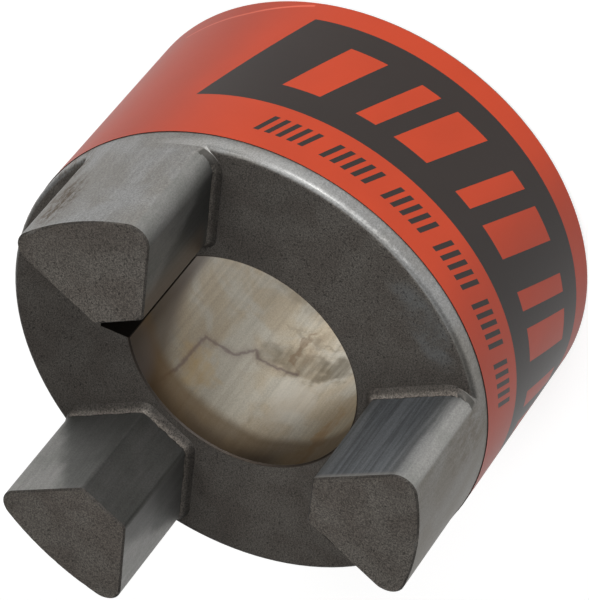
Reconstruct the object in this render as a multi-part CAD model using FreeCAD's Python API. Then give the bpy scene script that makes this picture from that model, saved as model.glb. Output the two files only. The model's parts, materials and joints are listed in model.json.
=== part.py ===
import FreeCAD, Part
import math
import os

from FreeCAD import Vector

# One half of a three-jaw shaft coupling: a sintered iron hub with three jaws in one piece, the
# set screw over its keyway, and the printed label round its body.
# Millimetres. The origin is the bore's centre on the back face. +Z runs along the bore towards
# the jaws. The keyway and the set screw are on +Y.

INCH = 25.4

# Hub body
outer_radius = 3.32 * INCH / 2
hub_length = 43.1  # back face to the face between the jaws
front_round = 1.2  # where the front face turns into the outside, between the jaws
back_round = 0.7
bore_radius = 1.625 * INCH / 2
bore_front_chamfer = 0.25
bore_back_chamfer = 0.8

# Jaws. The flanks of one jaw close towards the hub's axis at flank_deg each side of its middle.
jaw_count = 3
jaw_height = 0.875 * INCH
first_jaw_deg = 31.0
flank_deg = 30.0
flank_offset = 7.65  # from the hub's axis to the line of a flank
jaw_inner = 23.5  # from the hub's axis to the jaw's flat inner side
jaw_outer_corner = 3.2
jaw_inner_corner = 1.2
jaw_tip_chamfer = 0.3
foot_size = 1.25  # the 45 degree foot round each jaw
foot_outside = 0.5  # how far its lower edge would pass the hub's outside, where it is trimmed

# Keyway for a 3/8 inch square key
key_width = 0.375 * INCH
key_depth = 0.1875 * INCH

# Set screw, 3/8-16, with a hexagon socket and a cup point
screw_length = 0.625 * INCH
screw_radius = 0.375 * INCH / 2
thread_pitch = INCH / 16
thread_depth = 0.6134 * thread_pitch
thread_count = 8
crest_flat = thread_pitch / 8
root_flat = thread_pitch / 4
point_length = 1.6
cup_radius = 2.1
cup_lip = 0.25
cup_depth = 1.1
end_chamfer = 0.7
socket_across_flats = 0.1875 * INCH
socket_depth = 4.8
socket_drill_depth = 1.0
screw_recess = 0.4  # from the hub's outside down to the screw's end
hole_clearance = 0.06  # round the thread's crests
hole_countersink = 0.8

# Wrap label
adhesive = 0.02
label_thickness = 0.12
label_back = 0.7
label_front = hub_length - 3.25
label_gap_deg = 24.0  # left open over the set screw

UP = Vector(0, 0, 1)
CENTRE = Vector(0, 0, 0)


def jaw_section(height, grow=0, outside=0):
    """The outline of a jaw on +X at this height. Its flanks and its inner side are moved outwards
    by grow, and its outer arc by outside."""
    outer = outer_radius + outside
    inner = jaw_inner - grow
    offset = flank_offset - grow
    outer_corner = jaw_outer_corner + grow
    inner_corner = jaw_inner_corner + grow
    lean = math.radians(flank_deg)
    along = Vector(math.cos(lean), math.sin(lean), 0)
    into_jaw = Vector(math.sin(lean), -math.cos(lean), 0)

    # Each corner is an arc about a centre that is its radius inside both of its sides.
    reach = math.sqrt((outer - outer_corner) ** 2 - (offset + outer_corner) ** 2)
    outer_centre = into_jaw * (offset + outer_corner) + along * reach
    outward = outer_centre * (1 / outer_centre.Length)
    inner_x = inner + inner_corner
    inner_y = (math.sin(lean) * inner_x - offset - inner_corner) / math.cos(lean)
    inner_centre = Vector(inner_x, inner_y, 0)
    half = [
        outward * outer,
        on_corner(outer_centre, outward, into_jaw, outer_corner),
        outer_centre - into_jaw * outer_corner,
        inner_centre - into_jaw * inner_corner,
        on_corner(inner_centre, Vector(-1, 0, 0), into_jaw, inner_corner),
        Vector(inner, inner_y, 0),
    ]
    left = [p + UP * height for p in half]
    right = [Vector(p.x, -p.y, p.z) for p in left]
    edges = [
        Part.Arc(right[0], Vector(outer, 0, height), left[0]),
        Part.Arc(left[0], left[1], left[2]),
        Part.LineSegment(left[2], left[3]),
        Part.Arc(left[3], left[4], left[5]),
        Part.LineSegment(left[5], right[5]),
        Part.Arc(right[5], right[4], right[3]),
        Part.LineSegment(right[3], right[2]),
        Part.Arc(right[2], right[1], right[0]),
    ]
    return Part.Wire([edge.toShape() for edge in edges])


def on_corner(centre, side, into_jaw, radius):
    """The middle of a corner's arc, halfway between the directions of its two sides."""
    middle = side - into_jaw
    return centre + middle * (radius / middle.Length)


def stack(sections):
    """A solid through two outlines, with straight sides."""
    return Part.makeLoft(sections, True, True)


def make_jaw():
    """A jaw on +X, sunk into the body, with its foot and the small chamfer round its tip."""
    tip = hub_length + jaw_height
    shoulder = tip - jaw_tip_chamfer
    sunk = hub_length - 2 * front_round
    shank = stack([jaw_section(sunk), jaw_section(shoulder)])
    crown = stack([jaw_section(shoulder), jaw_section(tip, -jaw_tip_chamfer, -jaw_tip_chamfer)])
    # The foot's slope carries on below the face, so it also meets the body's rounded edge.
    foot = stack(
        [
            jaw_section(hub_length - front_round, foot_size + front_round, foot_outside),
            jaw_section(hub_length + foot_size),
        ]
    )
    envelope = Part.makeCylinder(outer_radius, tip)
    return shank.fuse([crown, foot.common(envelope)])


def ring_edges(solid, height):
    """The circular edges of a solid that lie flat at this height."""
    return [
        edge
        for edge in solid.Edges
        if isinstance(edge.Curve, Part.Circle) and abs(edge.CenterOfMass.z - height) < 1e-6
    ]


def make_hub():
    body = Part.makeCylinder(outer_radius, hub_length)
    body = body.makeFillet(front_round, ring_edges(body, hub_length))
    body = body.makeFillet(back_round, ring_edges(body, 0))
    jaws = []
    for number in range(jaw_count):
        jaw = make_jaw()
        jaw.rotate(CENTRE, UP, first_jaw_deg + number * 360 / jaw_count)
        jaws.append(jaw)
    hub = body.fuse(jaws).removeSplitter()
    return hub.cut([bore_tool(), keyway_tool(), screw_hole_tool()]).removeSplitter()


def bore_tool():
    """The bore with a chamfer at each end."""
    bore = Part.makeCylinder(bore_radius, hub_length)
    back = Part.makeCone(bore_radius + bore_back_chamfer, bore_radius, bore_back_chamfer)
    front = Part.makeCone(
        bore_radius,
        bore_radius + bore_front_chamfer,
        bore_front_chamfer,
        Vector(0, 0, hub_length - bore_front_chamfer),
    )
    return bore.fuse([back, front])


def keyway_tool():
    corner = Vector(-key_width / 2, 0, -1)
    return Part.makeBox(key_width, bore_radius + key_depth, hub_length + 2, corner)


def screw_hole_tool():
    """The tapped hole from the keyway to the outside, with a countersunk mouth."""
    radius = screw_radius + hole_clearance
    start = Vector(0, bore_radius, hub_length / 2)
    hole = Part.makeCylinder(radius, outer_radius + 1 - bore_radius, start, Vector(0, 1, 0))
    mouth = Part.makeCone(
        radius,
        radius + 2 * hole_countersink,
        2 * hole_countersink,
        Vector(0, outer_radius - hole_countersink, hub_length / 2),
        Vector(0, 1, 0),
    )
    return hole.fuse(mouth)


def make_set_screw():
    """The screw turned about +Z with its point down, then laid along +Y with its socket outside."""
    root_radius = screw_radius - thread_depth
    flank = (thread_pitch - crest_flat - root_flat) / 2
    outline = [(0, cup_depth), (cup_radius, 0), (cup_radius + cup_lip, 0)]
    for number in range(thread_count + 1):
        start = point_length + number * thread_pitch
        outline.append((root_radius, start))
        outline.append((screw_radius, start + flank))
        if number < thread_count:
            outline.append((screw_radius, start + flank + crest_flat))
            outline.append((root_radius, start + thread_pitch - root_flat))
    outline.append((screw_radius, screw_length - end_chamfer))
    outline.append((screw_radius - end_chamfer, screw_length))
    outline.append((0, screw_length))
    points = [Vector(radius, 0, height) for radius, height in outline]
    blank = Part.Face(Part.makePolygon(points + points[:1])).revolve(CENTRE, UP, 360)
    screw = blank.cut(socket_tool())
    screw.rotate(CENTRE, Vector(1, 0, 0), -90)
    outer_end = outer_radius - screw_recess
    screw.translate(Vector(0, outer_end - screw_length, hub_length / 2))
    return screw


def socket_tool():
    """A hexagon socket with the drilled cone at its bottom, cut down from the screw's end."""
    floor = screw_length - socket_depth
    corner_radius = socket_across_flats / math.sqrt(3)
    corners = [
        Vector(corner_radius * math.cos(turn), corner_radius * math.sin(turn), floor)
        for turn in (math.radians(60 * number) for number in range(7))
    ]
    hexagon = Part.Face(Part.makePolygon(corners)).extrude(UP * (socket_depth + 1))
    drill_tip = Part.makeCone(
        0, socket_across_flats / 2, socket_drill_depth, Vector(0, 0, floor - socket_drill_depth)
    )
    return hexagon.fuse(drill_tip)


def make_label():
    """A thin open sleeve round the body, with its gap over the set screw."""
    inner = outer_radius + adhesive
    height = label_front - label_back
    base = Vector(0, 0, label_back)
    sweep = 360 - label_gap_deg
    sleeve = Part.makeCylinder(inner + label_thickness, height, base, UP, sweep)
    sleeve = sleeve.cut(Part.makeCylinder(inner, height, base))
    sleeve.rotate(CENTRE, UP, 90 + label_gap_deg / 2)
    return sleeve


os.makedirs("parts", exist_ok=True)
pieces = {
    "jaw_hub": make_hub(),
    "set_screw": make_set_screw(),
    "label_band": make_label(),
}
for name, shape in pieces.items():
    shape.exportStep(f"parts/{name}.step")
    box = shape.BoundBox
    print(
        f"{name}: {len(shape.Solids)} solid, valid {shape.isValid()}, {shape.Volume:.0f} mm3,",
        f"x {box.XMin:.2f}..{box.XMax:.2f}, y {box.YMin:.2f}..{box.YMax:.2f},",
        f"z {box.ZMin:.2f}..{box.ZMax:.2f}",
    )
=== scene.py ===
"""The looks of one half of a jaw coupling.

A sintered iron hub with three jaws, the printed label round it and the set screw over its keyway.
Degrees run round the hub's axis from +X towards +Y. Inside the bore they run from -X instead, so
that the seam lies on the far side. Lengths are in millimetres, apart from the stage's, in metres.
"""

import json
import math

import bmesh
import bpy
from mathutils import Matrix, Vector, noise
from mathutils.geometry import delaunay_2d_cdt


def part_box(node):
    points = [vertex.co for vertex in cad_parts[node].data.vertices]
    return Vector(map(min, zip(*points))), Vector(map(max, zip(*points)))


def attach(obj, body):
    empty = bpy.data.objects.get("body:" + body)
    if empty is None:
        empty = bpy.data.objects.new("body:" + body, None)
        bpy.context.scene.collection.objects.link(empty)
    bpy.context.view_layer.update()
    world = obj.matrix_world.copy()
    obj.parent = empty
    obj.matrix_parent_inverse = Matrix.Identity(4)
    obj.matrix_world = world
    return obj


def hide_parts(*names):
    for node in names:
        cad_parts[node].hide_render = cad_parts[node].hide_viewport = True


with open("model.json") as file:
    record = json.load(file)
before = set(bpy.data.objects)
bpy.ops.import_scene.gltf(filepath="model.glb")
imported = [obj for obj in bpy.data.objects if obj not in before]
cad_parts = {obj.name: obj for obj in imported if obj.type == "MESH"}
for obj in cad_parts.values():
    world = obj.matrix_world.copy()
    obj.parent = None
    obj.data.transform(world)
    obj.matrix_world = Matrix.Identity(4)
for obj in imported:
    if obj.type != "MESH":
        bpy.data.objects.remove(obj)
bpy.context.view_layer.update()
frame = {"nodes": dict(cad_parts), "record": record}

MM = 0.001


def linear(red, green, blue):
    """A display colour, 0 to 255 a channel, as the linear colour that the shaders take."""
    def channel(value):
        share = value / 255
        return share / 12.92 if share <= 0.04045 else ((share + 0.055) / 1.055) ** 2.4
    return (channel(red), channel(green), channel(blue), 1.0)


# ---------------------------------------------------------------- sizes read from the frame
hub_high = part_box("jaw_hub")[1] / MM
label_low, label_high = (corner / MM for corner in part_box("label_band"))
screw_low, screw_high = (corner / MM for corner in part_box("set_screw"))
mounts = {mount["name"]: mount for mount in frame["record"]["mounts"]}

OUTER_RADIUS = hub_high.x
JAW_TIP_Z = hub_high.z
FACE_Z = mounts["spider_seat"]["pos_m"][2] / MM    # the face between the jaws
BORE_RADIUS = mounts["bore"]["dims"]["r_mm"]
LABEL_RADIUS = label_high.x
LABEL_BACK_Z = label_low.z
LABEL_FRONT_Z = label_high.z

# ---------------------------------------------------------------- camera
CAMERA_AZIMUTH = -21.92     # degrees, as seen from the aim point
CAMERA_ELEVATION = 43.63    # degrees above the floor
CAMERA_ROLL = -141.80       # degrees: the object hangs over in the picture
CAMERA_DISTANCE = 0.6529
CAMERA_AIM = Vector((17.735, -7.689, FACE_Z)) * MM
CAMERA_LENS = 248.43        # millimetres, on a sensor this wide:
SENSOR_WIDTH = 36.0

# ---------------------------------------------------------------- lights and floor
LIGHTS = (                  # name, azimuth and elevation in degrees, width, height, power in watts
    ("overhead", 0.0, 88.0, 0.6, 0.6, 6.5),
    ("key", -14.0, 15.0, 0.6, 0.5, 11.0),
    ("side", 32.0, 40.0, 0.25, 0.25, 3.0),
)
LIGHT_DISTANCE = 1.2
WORLD_STRENGTH = 0.06
FLOOR_RADIUS = 4.0
FLOOR_CLEARANCE = 0.00002   # under the hub, so that the two surfaces don't coincide
FLOOR_GLOW = 0.78
FLOOR_DARK, FLOOR_LIGHT = linear(168, 168, 167), linear(170, 170, 170)

# ---------------------------------------------------------------- label, in degrees and millimetres
LABEL_THICKNESS = 0.12
LABEL_GAP_MIDDLE = 90.0
LABEL_GAP = 24.0
LABEL_STEP = 2.0            # degrees between the film's columns of points
LABEL_EDGE_STEP = 3.0       # millimetres between the points along an upright outline
LABEL_ROWS = 14
ORANGE, CHARCOAL, EDGE = range(3)
ORANGE_INK = linear(167, 52, 18)
CHARCOAL_INK = linear(36, 29, 26)
EDGE_INK = linear(60, 28, 18)
# painted highlight along a crease in the film
CREASE_HIGHLIGHT = linear(226, 110, 86)
PRINT_LEAN = 0.55           # degrees for each millimetre towards the jaws
PANEL_Z = (5.2, 29.0)
PANEL_END = 14.0
BAR_Z = (10.2, 23.8)
BAR_FIRST, BAR_PITCH, BAR_COUNT = -7.0, 13.6, 13
BAR_WIDTHS = (9.0, 5.0)
TICK_Z = (31.7, 36.1)
TICK_FIRST, TICK_PITCH, TICK_COUNT = 7.0, 2.6, 36
TICK_WIDTH, TICK_GROUP = 1.3, 6
LABEL_CREASE = ((12.5, 1.6), (24.0, 3.9), (37.0, 5.2))     # millimetres round the label, and height
# painted shade on the label: darker on the two sides turned away from the lamps
LABEL_PAINTED_SHADE = ((-82.0, 42.0, 0.7), (50.0, 30.0, 0.82))     # degrees, half width, tone
PAINTED_SHADE_HEIGHT = (20.0, 200.0)                               # middle and half height

# ---------------------------------------------------------------- hub: shape of its wear
HUB_SHARP_ANGLE = math.radians(28)
OUTLINE_MARGIN = 0.01       # how near an outline's height its points lie
FLASH_Z = FACE_Z + 1.25     # the top of the foot round each jaw
FLASH_STEP = 0.22
FLASH_RAGGED = 0.3
NICK_STEP = 0.4
NICK_RARITY = 0.25
NICK_DEPTH = 0.9
JAW_MIDDLE_RADIUS = 33.0    # the nicks run towards this radius
TIP_CHAMFER = 0.3
KEYWAY_WIDTH, KEYWAY_DEPTH = 9.525, 25.4    # the depth is from the bore's axis

# ---------------------------------------------------------------- hub: colours
FACE_DARK, FACE_LIGHT = linear(74, 69, 64), linear(82, 78, 73)
FACE_RUBBED = linear(104, 108, 110)
SIDE_DARK, SIDE_LIGHT = linear(132, 130, 126), linear(143, 143, 142)
# painted shade with a warm tint, for the sides turned away from the lamps
SIDE_SHADED_WARM = linear(80, 74, 62)
# painted highlight on the rim
SIDE_GLINT = linear(176, 176, 174)
RUST = linear(78, 64, 48)
FLANK_DARK, FLANK_LIGHT = linear(124, 124, 120), linear(134, 133, 130)
FLANK_DRAWN = linear(108, 111, 114)
# painted highlight near one jaw's tip
FLANK_TIP_HIGHLIGHT = linear(150, 147, 141)
FLANK_BROWN = linear(100, 85, 70)
# grime and painted shadow under the flash's lip
FOOT_LINE_GRIME_AND_SHADOW = linear(56, 53, 49)
KEYWAY_SHADE = linear(48, 43, 39)
BORE_WARM, BORE_PALE = linear(180, 168, 148), linear(187, 181, 168)
BORE_SHADED = linear(98, 91, 86)
BORE_BESIDE_KEY = linear(84, 76, 70)
# painted dark reflection with a brown tint, at the bore's mouth
BORE_MOUTH, BORE_MOUTH_DEEP = linear(106, 86, 60), linear(70, 58, 46)
BORE_GREY_PATCH = linear(98, 94, 96)
BORE_LIP = linear(66, 57, 50)
# painted dark reflection line in the bore, and its halo
BORE_DARK_LINE, BORE_DARK_LINE_HALO = linear(92, 76, 80), linear(110, 96, 88)

# ---------------------------------------------------------------- hub: places of its wear
# Patches on a face or a jaw: degrees, distance from the axis, half width in degrees, half height.
# painted sheen on the face
FACE_SHEEN = (-36.0, 32.0, 34.0, 24.0)
FACE_SHEEN_BACK = (30.0, 32.0, 30.0, 24.0)  # in degrees from -X
FACE_RUB = (-52.0, 38.0, 17.0, 4.0)
DRAWN_FLANK = (-70.0, 31.0, 28.0, 10.5)
# painted shade on one jaw's flank
SHADED_FLANK = (10.0, 35.0, 15.0, 10.0)
BROWN_FLANK = (12.0, 23.0, 16.0, 8.0)
# Patches on the sides and in the bore: degrees, height, half width in degrees, half height.
# a polished patch of the rim, also painted with a highlight
POLISH_AND_GLINT_RIM = (4.0, FACE_Z - 0.3, 26.0, 2.8)
MOUTH_GREY_PATCH = (-66.0, 43.0, 18.0, 8.0)
RUST_PATCHES = (            # the same, and strength
    (40.5, 57.5, 5.5, 9.0, 0.95),
    (47.0, 47.0, 4.0, 7.0, 0.9),
    (-79.0, 47.0, 8.0, 9.0, 0.4),
    (53.0, 41.5, 9.0, 3.0, 0.7),
)
BORE_STAINS = (             # the same, strength, and colour
    # the first, pale entry is a painted reflection; the others are stains
    (10.0, 27.0, 14.0, 8.0, 0.6, linear(208, 201, 188)),
    (39.0, 37.0, 7.0, 12.0, 0.55, linear(170, 130, 74)),
    (-36.0, 32.0, 13.0, 6.0, 0.5, linear(166, 142, 100)),
    (-14.0, 17.6, 9.0, 3.8, 0.5, linear(104, 96, 82)),
    (2.0, 17.5, 19.0, 4.6, 0.62, linear(108, 98, 80)),
    (20.0, 16.0, 13.0, 5.0, 0.75, linear(102, 93, 76)),
    (-2.0, 14.0, 2.2, 7.0, 0.5, linear(118, 92, 70)),
    (4.0, 13.0, 3.0, 7.0, 0.35, linear(132, 112, 90)),
    (0.0, 11.0, 20.0, 0.9, 0.35, linear(110, 104, 92)),
    (-14.0, 1.0, 26.0, 6.5, 0.6, linear(120, 112, 98)),
)
# the painted dark reflection line's points
DARK_LINE_POINTS = (                # millimetres round the bore from -X, and height
    (-17.6, 43.0), (-15.8, 35.0), (-15.4, 25.5), (-9.4, 23.5), (-7.2, 19.6), (-6.2, 21.0), (1.0, 20.2),
)
SHADED_TURN, SHADED_Z, SHADED_LEAN = -47.0, 43.0, 1.4      # the painted shade, a dark wedge beside the keyway
BASE_SHADE_RADIUS, BASE_SHADE_LEAN = 36.0, 1.8          # the painted shade at the jaws' base climbs the flanks outside this radius
FOOT_LIT_TURN = 40.0        # the side on which the foot is brightest, by painted light

# ---------------------------------------------------------------- set screw, 3/8-16 with a hexagon socket
SCREW_LENGTH = screw_high.y - screw_low.y
SCREW_RADIUS = screw_high.x
SCREW_SIDES = 72
SCREW_SHARP_ANGLE = math.radians(35)
THREAD_PITCH = 1.5875
THREAD_DEPTH = 0.6134 * THREAD_PITCH
THREAD_CREST, THREAD_ROOT = THREAD_PITCH / 8, THREAD_PITCH / 4     # the widths of their flats
RINGS_A_TURN = 20
CUP_RADIUS, CUP_LIP, CUP_DEPTH = 2.1, 0.25, 1.1
POINT_SLOPE = 0.9
END_CHAMFER = 0.7
SOCKET_WIDTH, SOCKET_DEPTH = 4.7625, 4.8
SOCKET_MOUTH = SOCKET_WIDTH / 2 * 1.06      # the least radius of its mouth, without the bevel
SOCKET_BEVEL, SOCKET_BEVEL_DEPTH = 0.12, 0.25
DRILL_TIP_DEPTH, DRILL_TIP_RADIUS = 1.0, 0.05
OXIDE_DARK, OXIDE_LIGHT = linear(38, 38, 40), linear(52, 52, 54)


def on_cylinder(radius, degrees, z):
    turn = math.radians(degrees)
    return Vector((radius * math.cos(turn), radius * math.sin(turn), z))


# ================================================================ material graphs


class Graph:
    """One procedural material. Its inputs are sockets or plain values, and lengths are in millimetres."""

    def __init__(self, name):
        self.material = bpy.data.materials.new(name)
        self.material.use_nodes = True
        self.tree = self.material.node_tree
        self.tree.nodes.clear()
        place = self.tree.nodes.new("ShaderNodeTexCoord").outputs["Object"]
        self.position = self.vector("SCALE", place, scale=1 / MM)
        self.x, self.y, self.z = self.split(self.position)
        self.normal = self.tree.nodes.new("ShaderNodeNewGeometry").outputs["Normal"]
        self.flat = self.vector("MULTIPLY", self.position, (1.0, 1.0, 0.0))
        self.radius = self.vector("LENGTH", self.flat)
        self.turn = self.degrees(self.y, self.x)
        self.opposite = self.degrees(self.times(self.y, -1.0), self.times(self.x, -1.0))

    def node(self, kind, inputs=(), **settings):
        made = self.tree.nodes.new(kind)
        for name, value in settings.items():
            setattr(made, name, value)
        for key, value in dict(inputs).items():
            self.put(made.inputs[key], value)
        return made

    def put(self, socket, value):
        if isinstance(value, bpy.types.NodeSocket):
            self.tree.links.new(value, socket)
        elif socket.type == "VECTOR":
            socket.default_value = value[:3]
        else:
            socket.default_value = value

    def math(self, operation, first, second=0.0, clamp=False):
        made = self.node("ShaderNodeMath", {0: first, 1: second}, operation=operation, use_clamp=clamp)
        return made.outputs[0]

    def add(self, first, second):
        return self.math("ADD", first, second)

    def minus(self, first, second):
        return self.math("SUBTRACT", first, second)

    def times(self, first, *others):
        """The product of numbers, or of masks: 1 where all of them are 1."""
        for other in others:
            first = self.math("MULTIPLY", first, other)
        return first

    def vector(self, operation, first, second=(0.0, 0.0, 0.0), scale=1.0):
        made = self.node("ShaderNodeVectorMath", {0: first, 1: second}, operation=operation)
        if operation == "SCALE":
            self.put(made.inputs["Scale"], scale)
        return made.outputs["Value"] if operation in ("DOT_PRODUCT", "LENGTH") else made.outputs["Vector"]

    def split(self, vector):
        return self.node("ShaderNodeSeparateXYZ", {0: vector}).outputs

    def degrees(self, rise, run):
        return self.math("DEGREES", self.math("ARCTAN2", rise, run))

    def ramp(self, value, start, end, low=0.0, high=1.0):
        """A smooth step from low at start to high at end."""
        made = self.node("ShaderNodeMapRange", {"Value": value}, interpolation_type="SMOOTHSTEP")
        for name, number in (("From Min", start), ("From Max", end), ("To Min", low), ("To Max", high)):
            self.put(made.inputs[name], number)
        return made.outputs["Result"]

    def below(self, value, limit, soft):
        """1 up to limit, fading to 0 over soft above it."""
        return self.ramp(value, limit, limit + soft, 1.0, 0.0)

    def blob(self, across, along, x, y, wide, tall):
        """1 at the point (x, y) of the coordinates across and along, fading to 0 at wide and tall from it."""
        off_x = self.math("DIVIDE", self.minus(across, x), wide)
        off_y = self.math("DIVIDE", self.minus(along, y), tall)
        squared = self.add(self.times(off_x, off_x), self.times(off_y, off_y))
        return self.ramp(squared, 0.1, 1.0, 1.0, 0.0)

    def near_line(self, across, along, points):
        """The distance from the line through the points."""
        place = self.node("ShaderNodeCombineXYZ", {0: across, 1: along}).outputs[0]
        nearest = None
        for (x0, y0), (x1, y1) in zip(points, points[1:]):
            run = Vector((x1 - x0, y1 - y0, 0.0))
            offset = self.vector("SUBTRACT", place, (x0, y0, 0.0))
            share = self.vector("DOT_PRODUCT", offset, tuple(run / run.length_squared))
            share = self.math("ADD", share, 0.0, clamp=True)
            foot = self.vector("SCALE", tuple(run), scale=share)
            distance = self.vector("LENGTH", self.vector("SUBTRACT", offset, foot))
            nearest = distance if nearest is None else self.math("MINIMUM", nearest, distance)
        return nearest

    def noise(self, size, detail=2.0, stretch=(1.0, 1.0, 1.0), roughness=0.5, warp=0.0, offset=0.0):
        """Noise with lumps of about size millimetres, drawn out by stretch."""
        place = self.vector("DIVIDE", self.position, stretch)
        place = self.vector("ADD", place, (offset, offset * 0.7, offset * 1.3))
        inputs = {
            "Vector": place,
            "Scale": 1 / size,
            "Detail": detail,
            "Roughness": roughness,
            "Distortion": warp,
        }
        return self.node("ShaderNodeTexNoise", inputs).outputs["Fac"]

    def stray(self, noise, reach):
        """The noise as a number either side of zero, up to about half of reach."""
        return self.times(self.minus(noise, 0.5), reach)

    def mix(self, share, first, second):
        """A colour between two."""
        made = self.node("ShaderNodeMix", data_type="RGBA")
        for index, value in ((0, share), (6, first), (7, second)):
            self.put(made.inputs[index], value)
        return made.outputs[2]

    def blend(self, share, first, second):
        """A number between two."""
        made = self.node("ShaderNodeMix", data_type="FLOAT")
        for index, value in ((0, share), (2, first), (3, second)):
            self.put(made.inputs[index], value)
        return made.outputs[0]

    def tone(self, colour, amount):
        """The colour made brighter or darker by the factor amount."""
        return self.vector("SCALE", colour, scale=amount)

    def vary(self, colour, noise, low, high):
        """The colour toned from low to high by the noise."""
        return self.tone(colour, self.ramp(noise, 0.3, 0.7, low, high))

    def finish(self, bump=None, bump_depth=0.02, **inputs):
        """Ends the graph with a principled shader. A socket's name has _ in place of its spaces."""
        named = {name.replace("_", " "): value for name, value in inputs.items()}
        shader = self.node("ShaderNodeBsdfPrincipled", named)
        if bump is not None:
            made = self.node("ShaderNodeBump", {"Height": bump, "Distance": bump_depth * MM, "Strength": 1.0})
            self.put(shader.inputs["Normal"], made.outputs["Normal"])
        output = self.node("ShaderNodeOutputMaterial")
        self.tree.links.new(shader.outputs[0], output.inputs[0])
        return self.material


# ================================================================ materials


def granular(g):
    """A pressed face: dark, matt and full of fine pores. Returns the colour and the height."""
    grain = g.noise(0.28, detail=4.0, roughness=0.8)
    pores = g.ramp(g.noise(0.5, detail=2.0, roughness=0.7, offset=11.0), 0.58, 0.72)
    mottle = g.noise(7.0, detail=4.0, warp=0.6)
    shade = g.mix(g.ramp(mottle, 0.35, 0.65), FACE_DARK, FACE_LIGHT)
    # painted sheen: the face brighter in two broad patches
    sheen = g.math("MAXIMUM", g.blob(g.turn, g.radius, *FACE_SHEEN),
                   g.blob(g.opposite, g.radius, *FACE_SHEEN_BACK))
    jaw_end = g.ramp(g.z, FACE_Z + 5, FACE_Z + 10)
    face_tone = g.blend(sheen, 0.88, 1.1)
    end_tone = g.ramp(g.radius, 26.0, 40.0, 1.52, 1.34)
    shade = g.tone(shade, g.blend(jaw_end, face_tone, end_tone))
    shade = g.vary(shade, grain, 0.3, 1.75)
    brightened = g.times(g.blob(g.turn, g.radius, *FACE_RUB), g.ramp(mottle, 0.4, 0.6), 0.5)
    shade = g.mix(brightened, shade, FACE_RUBBED)
    return g.tone(shade, g.blend(pores, 1.0, 0.5)), g.minus(grain, pores)


def burnished(g):
    """The sides, smoothed by the press die: satin grey with faint axial streaks and rust in places, and a
    painted shade with a warm tint towards -82 degrees.
    """
    cloud = g.noise(9.0, detail=3.0, warp=0.4, offset=5.0)
    streak = g.noise(0.7, detail=3.0, stretch=(1.0, 1.0, 25.0), roughness=0.6)
    speckle = g.noise(0.3, detail=3.0, roughness=0.8, offset=2.0)
    shade = g.mix(g.ramp(cloud, 0.35, 0.65), SIDE_DARK, SIDE_LIGHT)
    shade = g.vary(shade, streak, 0.93, 1.05)
    shade = g.vary(shade, speckle, 0.74, 1.22)
    # painted shade with a warm tint: the sides darker towards -82 degrees
    shade = g.mix(g.ramp(g.turn, -48.0, -82.0, 0.0, 0.55), shade, SIDE_SHADED_WARM)
    worn = g.noise(1.1, detail=5.0, stretch=(1.0, 1.0, 2.0), roughness=0.7, offset=8.0)
    worn = g.ramp(worn, 0.42, 0.6)
    for turn, z, wide, tall, strength in RUST_PATCHES:
        rust = g.times(g.blob(g.turn, g.z, turn, z, wide, tall), worn, strength)
        shade = g.mix(rust, shade, RUST)
    return shade, g.add(g.times(streak, 0.4), g.times(speckle, 0.5))


def jaw_sides(g):
    """The jaws' flanks and inner sides: grey with dark axial drag marks, darker towards the foot by painted
    shade, with painted shade on one jaw's flank and on the inner sides, a painted highlight near one jaw's
    tip, and a dark line of grime and painted shadow above the flash.
    """
    drag = g.noise(0.8, detail=4.0, stretch=(1.0, 1.0, 22.0), roughness=0.65, offset=4.0)
    cloud = g.noise(6.0, detail=3.0, warp=0.4, offset=9.0)
    speckle = g.noise(0.3, detail=3.0, roughness=0.8, offset=6.0)
    drawn = g.blob(g.turn, g.radius, *DRAWN_FLANK)
    shade = g.mix(g.ramp(cloud, 0.35, 0.65), FLANK_DARK, FLANK_LIGHT)
    shade = g.mix(drawn, shade, FLANK_DRAWN)
    shade = g.tone(shade, g.ramp(drag, 0.32, 0.68, g.blend(drawn, 0.9, 0.6), g.blend(drawn, 1.05, 1.15)))
    shade = g.vary(shade, speckle, 0.8, 1.16)

    # painted shade: the flanks darker towards the jaws' base, ragged and leaning with the radius
    leaning = g.times(g.minus(g.radius, BASE_SHADE_RADIUS), BASE_SHADE_LEAN)
    base_shade = g.add(g.add(g.z, leaning), g.stray(cloud, 9.0))
    shade = g.tone(shade, g.ramp(base_shade, FACE_Z + 4, FACE_Z + 11, g.blend(drawn, 0.48, 0.85), 1.0))
    # painted highlight: one flank lighter just below the jaw's tip
    brightened = g.times(drawn, g.ramp(g.z, JAW_TIP_Z - 1.3, JAW_TIP_Z - 0.4), 0.6)
    shade = g.mix(brightened, shade, FLANK_TIP_HIGHLIGHT)
    # painted shade: one jaw's flank darker
    shade = g.tone(shade, g.blend(g.blob(g.turn, g.radius, *SHADED_FLANK), 1.0, 0.55))
    # painted shade: the inner sides, which face the axis, darker
    outward = g.math("DIVIDE", g.vector("DOT_PRODUCT", g.normal, g.flat), g.radius)
    shade = g.tone(shade, g.ramp(outward, -0.9, -0.6, 0.6, 1.0))
    brown = g.times(g.blob(g.turn, g.radius, *BROWN_FLANK), g.ramp(g.z, FACE_Z + 1, FACE_Z + 4), 0.75)
    shade = g.mix(brown, shade, FLANK_BROWN)
    # a dark ragged line of grime and painted shadow just above the flash
    ragged_height = g.add(g.z, g.times(g.noise(0.7, detail=3.0, roughness=0.7), 1.3))
    line = g.ramp(ragged_height, FLASH_Z + 0.65, FLASH_Z + 0.85, 0.8, 0.0)
    return g.mix(line, shade, FOOT_LINE_GRIME_AND_SHADOW), drag


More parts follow.
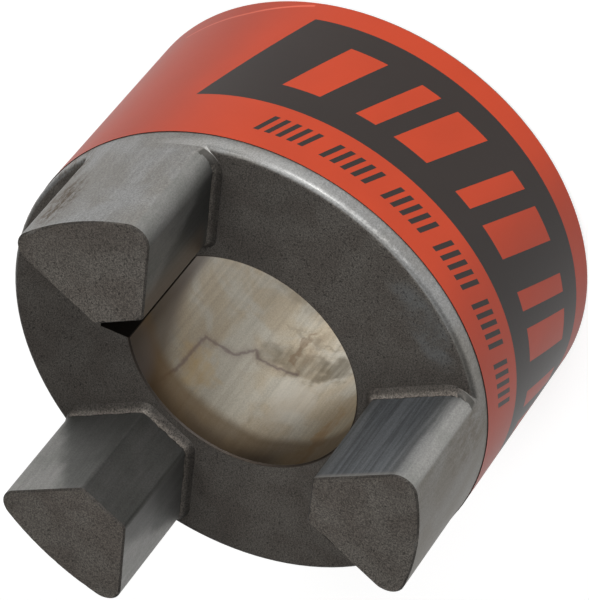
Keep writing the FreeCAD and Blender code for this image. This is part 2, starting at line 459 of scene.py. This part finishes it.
def machined(g):
    """The bored wall: warm silver, one half brighter by painted reflection, with stains, a painted dark
    reflection line, painted shade beside the keyway and a mouth darkened by painted reflection with a brown
    tint.
    """
    cloud = g.noise(7.0, detail=3.0, warp=0.6, offset=3.0)
    streak = g.noise(0.8, detail=3.0, stretch=(1.0, 1.0, 40.0), roughness=0.5, offset=1.0)
    speckle = g.noise(0.25, detail=2.0, roughness=0.7, offset=17.0)
    seam_fade = g.ramp(g.opposite, 110.0, 170.0, 1.0, 0.0)
    # painted reflection: one half of the bore brighter
    bright = g.times(g.ramp(g.opposite, -34.0, 2.0), seam_fade)
    shade = g.mix(g.ramp(cloud, 0.38, 0.62), BORE_WARM, BORE_PALE)
    shade = g.tone(shade, g.blend(bright, 0.66, 1.13))
    shade = g.vary(shade, streak, 0.90, 1.06)
    shade = g.vary(shade, speckle, 0.88, 1.08)
    shade = stained(g, shade)
    shade = dark_reflection_line(g, shade)
    shade = shaded_wedge(g, shade)
    return mouth_shade(g, shade, cloud, seam_fade), streak


def stained(g, shade):
    """The bore's stains, pulled out of shape and streaked along the bore; the first, pale one is a painted
    reflection.
    """
    ragged = g.noise(1.3, detail=4.0, stretch=(1.0, 1.0, 7.0), roughness=0.6, offset=13.0)
    ragged = g.ramp(ragged, 0.3, 0.6, 0.5, 1.0)
    stray_turn = g.add(g.opposite, g.stray(g.noise(3.0, offset=31.0), 22.0))
    stray_z = g.add(g.z, g.stray(g.noise(2.0, offset=37.0), 7.0))
    for turn, z, wide, tall, strength, colour in BORE_STAINS:
        stain = g.times(g.blob(stray_turn, stray_z, turn, z, wide, tall), ragged, strength)
        shade = g.mix(stain, shade, colour)
    return shade


def dark_reflection_line(g, shade):
    """A painted dark reflection: a jagged dark line across the bore, with a faint halo."""
    around = g.times(g.opposite, math.radians(BORE_RADIUS))
    wander = g.stray(g.noise(1.2), 0.9)
    line = g.near_line(g.add(around, wander), g.add(g.z, wander), DARK_LINE_POINTS)
    shade = g.mix(g.ramp(line, 0.0, 0.55, 0.6, 0.0), shade, BORE_DARK_LINE)
    return g.mix(g.ramp(line, 0.2, 1.8, 0.22, 0.0), shade, BORE_DARK_LINE_HALO)


def shaded_wedge(g, shade):
    """Painted shade: a dark wedge in the bore beside the keyway, and darker still right beside the keyway."""
    near_key = g.ramp(g.opposite, -160.0, -115.0)
    leaning = g.times(g.minus(SHADED_Z, g.z), SHADED_LEAN)
    past = g.add(g.minus(g.opposite, SHADED_TURN), leaning)
    shade = g.mix(g.times(g.ramp(past, -2.0, 14.0, 0.85, 0.0), near_key), shade, BORE_SHADED)
    # painted shade: darker right beside the keyway
    beside_key = g.times(g.ramp(g.opposite, -73.0, -64.0, 0.8, 0.0), near_key)
    return g.mix(beside_key, shade, BORE_BESIDE_KEY)


def mouth_shade(g, shade, cloud, seam_fade):
    """The bore's mouth: darkened along its edge by painted reflection with a brown tint, and greyer in one
    place.
    """
    mouth = g.add(g.z, g.stray(cloud, 3.0))
    # painted dark reflection with a brown tint: the mouth darker towards its edge
    shade = g.mix(g.ramp(mouth, 35.0, 37.8, 0.0, 0.72), shade, BORE_MOUTH)
    deep = g.blend(g.times(g.ramp(g.opposite, 12.0, 32.0), seam_fade), 0.8, 0.1)
    shade = g.mix(g.ramp(mouth, 38.0, 43.0, 0.0, deep), shade, BORE_MOUTH_DEEP)
    return g.mix(g.times(g.blob(g.opposite, g.z, *MOUTH_GREY_PATCH), 0.7), shade, BORE_GREY_PATCH)


class HubZones:
    """Masks for the hub's surfaces, each 1 on its own surface."""

    def __init__(self, g):
        up = g.split(g.normal)[2]
        steep = g.math("ABSOLUTE", up)
        self.side = g.ramp(steep, 0.80, 0.97, 1.0, 0.0)
        self.inside = g.ramp(g.radius, OUTER_RADIUS - 0.3, OUTER_RADIUS - 0.1, 1.0, 0.0)
        self.flank = g.times(g.ramp(g.z, FACE_Z + 0.05, FACE_Z + 0.15), self.inside)
        self.bore = g.times(g.below(g.radius, BORE_RADIUS + 0.1, 0.1), g.below(g.z, FACE_Z - 0.3, 0.05))
        self.foot = g.times(g.ramp(g.z, FACE_Z, FACE_Z + 0.02), self.inside, self.side,
                            g.ramp(up, 0.3, 0.5), g.below(g.z, FLASH_Z + 2, 1.0))
        self.keyway = g.times(g.ramp(g.y, 15.0, 16.0), g.below(g.y, KEYWAY_DEPTH + 0.05, 0.05),
                              g.below(g.math("ABSOLUTE", g.x), KEYWAY_WIDTH / 2 + 0.05, 0.05),
                              self.side, g.minus(1.0, self.bore), g.below(g.z, FACE_Z, 0.02))
        tip_low = JAW_TIP_Z - TIP_CHAMFER
        self.tip_edge = g.times(g.ramp(g.z, tip_low - 0.02, tip_low), self.side)
        self.lip = g.times(g.below(g.radius, BORE_RADIUS + 0.3, 0.1),
                           g.ramp(g.z, FACE_Z - 0.3, FACE_Z - 0.25), g.below(g.z, FACE_Z + 0.02, 0.08))
        self.rim = g.times(g.below(up, 0.55, 0.30), g.ramp(g.radius, OUTER_RADIUS - 1.4, OUTER_RADIUS - 1.0),
                           g.below(g.z, FACE_Z, 0.1))
        self.shiny = g.times(self.side, g.minus(1.0, g.math("MAXIMUM", self.foot, self.tip_edge)))


def foot_tone(g):
    """The foot's brightness: brighter towards its upper edge, and brightest, by painted light, on one side of
    the hub.
    """
    facing = g.vector("DOT_PRODUCT", g.normal, on_cylinder(1.0, FOOT_LIT_TURN, 0.0))
    # painted light: the foot brighter where it faces FOOT_LIT_TURN
    lit = g.ramp(facing, -0.1, 0.5, 1.5, 2.7)
    return g.times(lit, g.ramp(g.z, FACE_Z + 0.45, FACE_Z + 1.1, 0.42, 1.0))


def hub_material():
    """Sintered iron: granular on the pressed ends, burnished on the sides, machined in the bore."""
    g = Graph("sintered_iron_look")
    zone = HubZones(g)
    face_colour, grain = granular(g)
    side_colour, streak = burnished(g)
    flank_colour, drag = jaw_sides(g)
    bore_colour, turned = machined(g)

    colour = g.mix(zone.flank, side_colour, flank_colour)
    colour = g.mix(zone.keyway, colour, KEYWAY_SHADE)
    colour = g.mix(zone.bore, colour, bore_colour)
    colour = g.mix(zone.side, face_colour, colour)
    colour = g.mix(zone.foot, colour, g.tone(face_colour, foot_tone(g)))
    colour = g.mix(zone.tip_edge, colour, g.tone(face_colour, 0.5))
    colour = g.mix(g.times(zone.lip, 0.85), colour, BORE_LIP)
    sparkle = g.noise(0.25, detail=3.0, roughness=0.7, offset=21.0)
    sparkle = g.ramp(sparkle, 0.36, 0.66, 0.25, 0.7)
    # painted highlight, speckled, on the rim; the same patch is also less rough
    polish_and_glint = g.times(zone.rim, sparkle, g.blob(g.turn, g.z, *POLISH_AND_GLINT_RIM))
    colour = g.mix(polish_and_glint, colour, SIDE_GLINT)

    metal = g.blend(zone.shiny, 0.45, g.blend(zone.flank, 1.0, 0.6))
    side_rough = g.blend(zone.bore, g.blend(polish_and_glint, 0.56, 0.36), 0.36)
    rough = g.blend(zone.shiny, 0.62, side_rough)
    side_height = g.blend(zone.flank, g.times(streak, 0.4), g.times(drag, 0.5))
    height = g.blend(zone.shiny, grain, side_height)
    height = g.blend(zone.bore, height, g.times(turned, 0.15))
    return g.finish(Base_Color=colour, Metallic=metal, Roughness=rough, bump=height, bump_depth=0.08)


def label_material(name, colour):
    """Printed film with a fine orange peel, darkened by painted shade on two sides of the hub, and with a
    painted highlight along a crease near its back edge.
    """
    g = Graph(name)
    ink = g.vary(colour, g.noise(14.0, offset=3.0), 0.95, 1.04)
    around = g.times(g.turn, math.radians(LABEL_RADIUS))
    crease = g.near_line(around, g.z, LABEL_CREASE)
    # painted highlight: a lighter line along the crease
    ink = g.mix(g.ramp(crease, 0.05, 0.4, 0.55, 0.0), ink, CREASE_HIGHLIGHT)
    # painted shade: the label darker on two sides of the hub, over its whole height
    middle, reach = PAINTED_SHADE_HEIGHT
    for turn, wide, share in LABEL_PAINTED_SHADE:
        ink = g.tone(ink, g.blend(g.blob(g.turn, g.z, turn, middle, wide, reach), 1.0, share))
    peel = g.noise(1.4)
    return g.finish(Base_Color=ink, Roughness=0.45, Specular_IOR_Level=0.22, bump=peel, bump_depth=0.01)


def screw_material():
    """Black oxide steel, a little cloudy."""
    g = Graph("black_oxide_look")
    cloud = g.noise(1.5, detail=3.0)
    colour = g.mix(g.ramp(cloud, 0.35, 0.65), OXIDE_DARK, OXIDE_LIGHT)
    return g.finish(Base_Color=colour, Metallic=0.9, Roughness=0.4, bump=g.noise(0.15), bump_depth=0.01)


def floor_material():
    """A light table: a pale floor that glows a little, so that shadows on it stay faint."""
    g = Graph("pale_floor")
    colour = g.mix(g.noise(400.0, detail=1.0), FLOOR_DARK, FLOOR_LIGHT)
    return g.finish(Base_Color=colour, Roughness=0.9, Specular_IOR_Level=0.0,
                    Emission_Color=(1.0, 1.0, 1.0, 1.0), Emission_Strength=FLOOR_GLOW)


# ================================================================ stage


def direction(azimuth, elevation):
    """The unit vector towards a point at these angles, in degrees."""
    a, e = math.radians(azimuth), math.radians(elevation)
    return Vector((math.cos(a) * math.cos(e), math.sin(a) * math.cos(e), math.sin(e)))


def make_camera():
    back = direction(CAMERA_AZIMUTH, CAMERA_ELEVATION)
    roll = math.radians(CAMERA_ROLL)
    level = (-back).cross(Vector((0, 0, 1))).normalized()
    rise = level.cross(-back)
    right = level * math.cos(roll) + rise * math.sin(roll)
    up = right.cross(-back)
    camera = bpy.data.objects.new("camera", bpy.data.cameras.new("camera"))
    camera.data.lens = CAMERA_LENS
    camera.data.sensor_width = SENSOR_WIDTH
    camera.data.clip_start = 0.01
    place = Matrix((right, up, back)).transposed().to_4x4()
    place.translation = CAMERA_AIM + back * CAMERA_DISTANCE
    camera.matrix_world = place
    bpy.context.scene.collection.objects.link(camera)
    bpy.context.scene.camera = camera


def make_light(name, azimuth, elevation, wide, tall, power):
    """A softbox that faces the hub."""
    towards = direction(azimuth, elevation)
    lamp = bpy.data.lights.new(name, "AREA")
    lamp.shape = "RECTANGLE"
    lamp.size = wide
    lamp.size_y = tall
    lamp.energy = power
    light = bpy.data.objects.new(name, lamp)
    light.location = towards * LIGHT_DISTANCE
    light.rotation_mode = "QUATERNION"
    light.rotation_quaternion = towards.to_track_quat("Z", "Y")
    bpy.context.scene.collection.objects.link(light)


def make_stage():
    """The floor, the even light from all round, and the softboxes."""
    bm = bmesh.new()
    bmesh.ops.create_circle(bm, cap_ends=True, segments=96, radius=FLOOR_RADIUS)
    mesh = bpy.data.meshes.new("floor")
    bm.to_mesh(mesh)
    bm.free()
    floor = bpy.data.objects.new("floor", mesh)
    floor.location.z = -FLOOR_CLEARANCE
    bpy.context.scene.collection.objects.link(floor)
    mesh.materials.append(floor_material())

    world = bpy.data.worlds.new("studio")
    bpy.context.scene.world = world
    world.use_nodes = True
    background = world.node_tree.nodes["Background"]
    background.inputs["Color"].default_value = (1.0, 1.0, 1.0, 1.0)
    background.inputs["Strength"].default_value = WORLD_STRENGTH
    for light in LIGHTS:
        make_light(*light)
    bpy.context.scene.view_settings.view_transform = "Standard"


# ================================================================ pieces


def link_piece(name, mesh):
    piece = bpy.data.objects.new(name, mesh)
    bpy.context.scene.collection.objects.link(piece)
    return piece


def new_piece(name, points, faces, materials, indices=None):
    """A mesh object from points in millimetres. The indices say which material each face has."""
    mesh = bpy.data.meshes.new(name)
    mesh.from_pydata([Vector(point) * MM for point in points], [], faces)
    for material in materials:
        mesh.materials.append(material)
    if indices:
        mesh.polygons.foreach_set("material_index", indices)
    mesh.shade_smooth()
    mesh.validate()
    return link_piece(name, mesh)


# ---------------------------------------------------------------- hub


def make_hub():
    """The hub's surface with a crumbled flash line round each jaw's foot and small nicks in the jaw ends."""
    bm = bmesh.new()
    bm.from_mesh(frame["nodes"]["jaw_hub"].data)
    bmesh.ops.remove_doubles(bm, verts=bm.verts, dist=1e-6)
    bm.transform(Matrix.Scale(1 / MM, 4))
    flash = [edge for edge in bm.edges if lies_at(edge, FLASH_Z)]
    ends = [edge for edge in bm.edges if lies_at(edge, JAW_TIP_Z)]
    for edges, step in ((flash, FLASH_STEP), (ends, NICK_STEP)):
        split_evenly(bm, edges, step)
    for vert in bm.verts:
        if abs(vert.co.z - FLASH_Z) < OUTLINE_MARGIN:
            crumble(vert)
        elif abs(vert.co.z - JAW_TIP_Z) < OUTLINE_MARGIN:
            nick(vert)
    shade_by_angle(bm)
    bm.transform(Matrix.Scale(MM, 4))
    mesh = bpy.data.meshes.new("jaw_hub_worn")
    bm.to_mesh(mesh)
    bm.free()
    mesh.attributes.remove(mesh.attributes["custom_normal"])
    mesh.materials.append(hub_material())
    piece = link_piece("jaw_hub_worn", mesh)
    weigh = piece.modifiers.new("even_shading", "WEIGHTED_NORMAL")
    weigh.mode = "FACE_AREA"
    weigh.keep_sharp = True
    return piece


def lies_at(edge, z):
    """True for an edge of a jaw's outline at the height z, inside the outer radius."""
    return all(abs(v.co.z - z) < OUTLINE_MARGIN and v.co.to_2d().length < OUTER_RADIUS - 2 * OUTLINE_MARGIN
               for v in edge.verts)


def split_evenly(bm, edges, step):
    """Cuts each edge into lengths of about step."""
    by_cuts = {}
    for edge in edges:
        by_cuts.setdefault(int(edge.calc_length() / step), []).append(edge)
    for cuts, group in sorted(by_cuts.items()):
        if cuts:
            bmesh.ops.subdivide_edges(bm, edges=group, cuts=cuts)


def crumble(vert):
    """Moves a point of the flash line up or down the jaw's side."""
    coarse = noise.noise(vert.co / 1.1)
    fine = noise.noise(vert.co / 0.35 + Vector((7, 0, 0)))
    vert.co.z += FLASH_RAGGED * (0.7 * coarse + 0.6 * fine)


def nick(vert):
    """Breaks a jaw end's edge away here and there."""
    depth = max(0.0, noise.noise(vert.co / 1.3 + Vector((3, 9, 0))) - NICK_RARITY) * NICK_DEPTH
    middle = vert.co.to_2d().normalized() * JAW_MIDDLE_RADIUS
    inward = (middle - vert.co.to_2d()).normalized() * depth
    vert.co += Vector((inward.x, inward.y, -0.4 * depth))


def shade_by_angle(bm):
    """Smooth shading, apart from the edges where two surfaces meet at an angle."""
    bm.normal_update()
    for edge in bm.edges:
        edge.smooth = edge.calc_face_angle(math.pi) < HUB_SHARP_ANGLE
    for face in bm.faces:
        face.smooth = True


# ---------------------------------------------------------------- label


def slanted(first, width, low, high):
    """A parallelogram from first degrees on, width degrees wide, that leans as the print leans."""
    lean = PRINT_LEAN * (high - low)
    return [(first, low), (first + width, low), (first + width + lean, high), (first + lean, high)]


def print_regions():
    """The outlines of the print in degrees and millimetres, lowest layer first, each with its ink."""
    start = LABEL_GAP_MIDDLE + LABEL_GAP / 2 - 360
    end = LABEL_GAP_MIDDLE - LABEL_GAP / 2
    far_end = start + end - PANEL_END
    low, high = PANEL_Z
    yield ORANGE, [(start, LABEL_BACK_Z), (end, LABEL_BACK_Z), (end, LABEL_FRONT_Z), (start, LABEL_FRONT_Z)]
    yield CHARCOAL, slanted(far_end, PANEL_END - far_end, low, high)
    for number in range(BAR_COUNT):
        width = BAR_WIDTHS[number % len(BAR_WIDTHS)]
        yield ORANGE, slanted(BAR_FIRST - number * BAR_PITCH, width, *BAR_Z)
    for number in range(TICK_COUNT):
        if number % TICK_GROUP:
            yield CHARCOAL, slanted(TICK_FIRST - number * TICK_PITCH, TICK_WIDTH, *TICK_Z)


def outline_points(outline, per_degree):
    """Points along a closed outline, close enough together to be wrapped round the hub."""
    for (a0, z0), (a1, z1) in zip(outline, outline[1:] + outline[:1]):
        steps = max(1, math.ceil(abs(a1 - a0) / LABEL_STEP), math.ceil(abs(z1 - z0) / LABEL_EDGE_STEP))
        for step in range(steps):
            share = step / steps
            yield Vector(((a0 + (a1 - a0) * share) * per_degree, z0 + (z1 - z0) * share))


def flat_label(per_degree):
    """The label laid out flat, with its print cut into the mesh: points, triangles and each one's ink."""
    points, loops, inks = [], [], []
    for ink, outline in print_regions():
        first = len(points)
        points.extend(outline_points(outline, per_degree))
        loops.append(list(range(first, len(points))))
        inks.append(ink)
    start, end = points[loops[0][0]].x, max(points[i].x for i in loops[0])
    columns = round((end - start) / (LABEL_STEP * per_degree))
    for column in range(1, columns):
        for row in range(1, LABEL_ROWS):
            z = LABEL_BACK_Z + (LABEL_FRONT_Z - LABEL_BACK_Z) * row / LABEL_ROWS
            points.append(Vector((start + (end - start) * column / columns, z)))
    flat, _, triangles, _, _, sources = delaunay_2d_cdt(points, [], loops, 0, 1e-4)
    return flat, triangles, [inks[max(source)] for source in sources]


def make_label():
    """The film: the flat label wrapped round the hub twice, outside and inside, and closed at its edges."""
    per_degree = math.radians(LABEL_RADIUS)
    flat, triangles, inks = flat_label(per_degree)
    inner = LABEL_RADIUS - LABEL_THICKNESS
    count = len(flat)
    points = [on_cylinder(radius, p.x / per_degree, p.y) for radius in (LABEL_RADIUS, inner) for p in flat]
    faces = [tuple(t) for t in triangles] + [tuple(count + i for i in reversed(t)) for t in triangles]
    sides = {(t[i], t[(i + 1) % 3]) for t in triangles for i in range(3)}
    rim = [(b, a, a + count, b + count) for a, b in sorted(sides) if (b, a) not in sides]
    indices = inks + [ORANGE] * len(triangles) + [EDGE] * len(rim)
    materials = [
        label_material("label_orange", ORANGE_INK),
        label_material("label_charcoal", CHARCOAL_INK),
        label_material("label_edge", EDGE_INK),
    ]
    piece = new_piece("label_film", points, faces + rim, materials, indices)
    piece.data.normals_split_custom_set(film_normals(piece.data, points, len(triangles)))
    return piece


def film_normals(mesh, points, outside):
    """Normals straight out from the axis on the outside faces, and straight in on as many inside ones."""
    normals = []
    for polygon in mesh.polygons:
        for index in polygon.vertices:
            outward = Vector((*points[index].to_2d().normalized(), 0.0))
            if polygon.index < outside:
                normals.append(outward)
            elif polygon.index < 2 * outside:
                normals.append(-outward)
            else:
                normals.append(polygon.normal)
    return normals


# ---------------------------------------------------------------- set screw


def thread_radius(height, turn):
    """The screw's radius at a height above its point, with a true helical thread."""
    phase = (height / THREAD_PITCH + turn / math.tau) % 1.0
    off_crest = abs(phase - 0.5) * THREAD_PITCH
    flank = (THREAD_PITCH - THREAD_ROOT - THREAD_CREST) / 2
    sunk = min(1.0, max(0.0, (off_crest - THREAD_CREST / 2) / flank))
    return SCREW_RADIUS - sunk * THREAD_DEPTH


def hexagon_radius(turn):
    """The distance from the axis to a hexagon socket's wall."""
    return SOCKET_WIDTH / 2 / math.cos((turn % (math.pi / 3)) - math.pi / 6)


def screw_rings():
    """The screw's rings, from the cup's middle to the socket's: a height, and the radius at each turn."""
    for share in (0.02, 0.5, 1.0):
        yield CUP_DEPTH * (1 - share), lambda turn, share=share: CUP_RADIUS * share
    yield 0.0, lambda turn: CUP_RADIUS + CUP_LIP
    count = round(SCREW_LENGTH / THREAD_PITCH * RINGS_A_TURN)
    for number in range(1, count):
        height = SCREW_LENGTH * number / count
        point = CUP_RADIUS + CUP_LIP + height * POINT_SLOPE
        end = SCREW_RADIUS - END_CHAMFER + SCREW_LENGTH - height
        room = min(point, end)
        yield height, lambda turn, height=height, room=room: min(thread_radius(height, turn), room)
    yield SCREW_LENGTH, lambda turn: SCREW_RADIUS - END_CHAMFER
    yield SCREW_LENGTH, lambda turn: max(hexagon_radius(turn), SOCKET_MOUTH) + SOCKET_BEVEL
    yield SCREW_LENGTH - SOCKET_BEVEL_DEPTH, hexagon_radius
    yield SCREW_LENGTH - SOCKET_DEPTH, hexagon_radius
    yield SCREW_LENGTH - SOCKET_DEPTH, lambda turn: SOCKET_WIDTH / 2
    yield SCREW_LENGTH - SOCKET_DEPTH - DRILL_TIP_DEPTH, lambda turn: DRILL_TIP_RADIUS


def make_screw():
    base_y, middle_z = screw_low.y, (screw_low.z + screw_high.z) / 2
    points, faces = [], []
    for height, radius in screw_rings():
        for side in range(SCREW_SIDES):
            turn = math.tau * side / SCREW_SIDES
            reach = radius(turn)
            points.append((reach * math.cos(turn), base_y + height, middle_z + reach * math.sin(turn)))
    rings = len(points) // SCREW_SIDES
    for ring in range(rings - 1):
        for side in range(SCREW_SIDES):
            a = ring * SCREW_SIDES + side
            b = ring * SCREW_SIDES + (side + 1) % SCREW_SIDES
            faces.append((a, a + SCREW_SIDES, b + SCREW_SIDES, b))
    faces.append(tuple(range(SCREW_SIDES)))
    faces.append(tuple(reversed(range((rings - 1) * SCREW_SIDES, rings * SCREW_SIDES))))
    piece = new_piece("set_screw_threaded", points, faces, [screw_material()])
    piece.data.set_sharp_from_angle(angle=SCREW_SHARP_ANGLE)
    return piece


# ================================================================ build


make_camera()
make_stage()

hub = make_hub()
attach(hub, "hub")
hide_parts("jaw_hub")

label = make_label()
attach(label, "hub")
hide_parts("label_band")

screw = make_screw()
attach(screw, "screw")
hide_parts("set_screw")
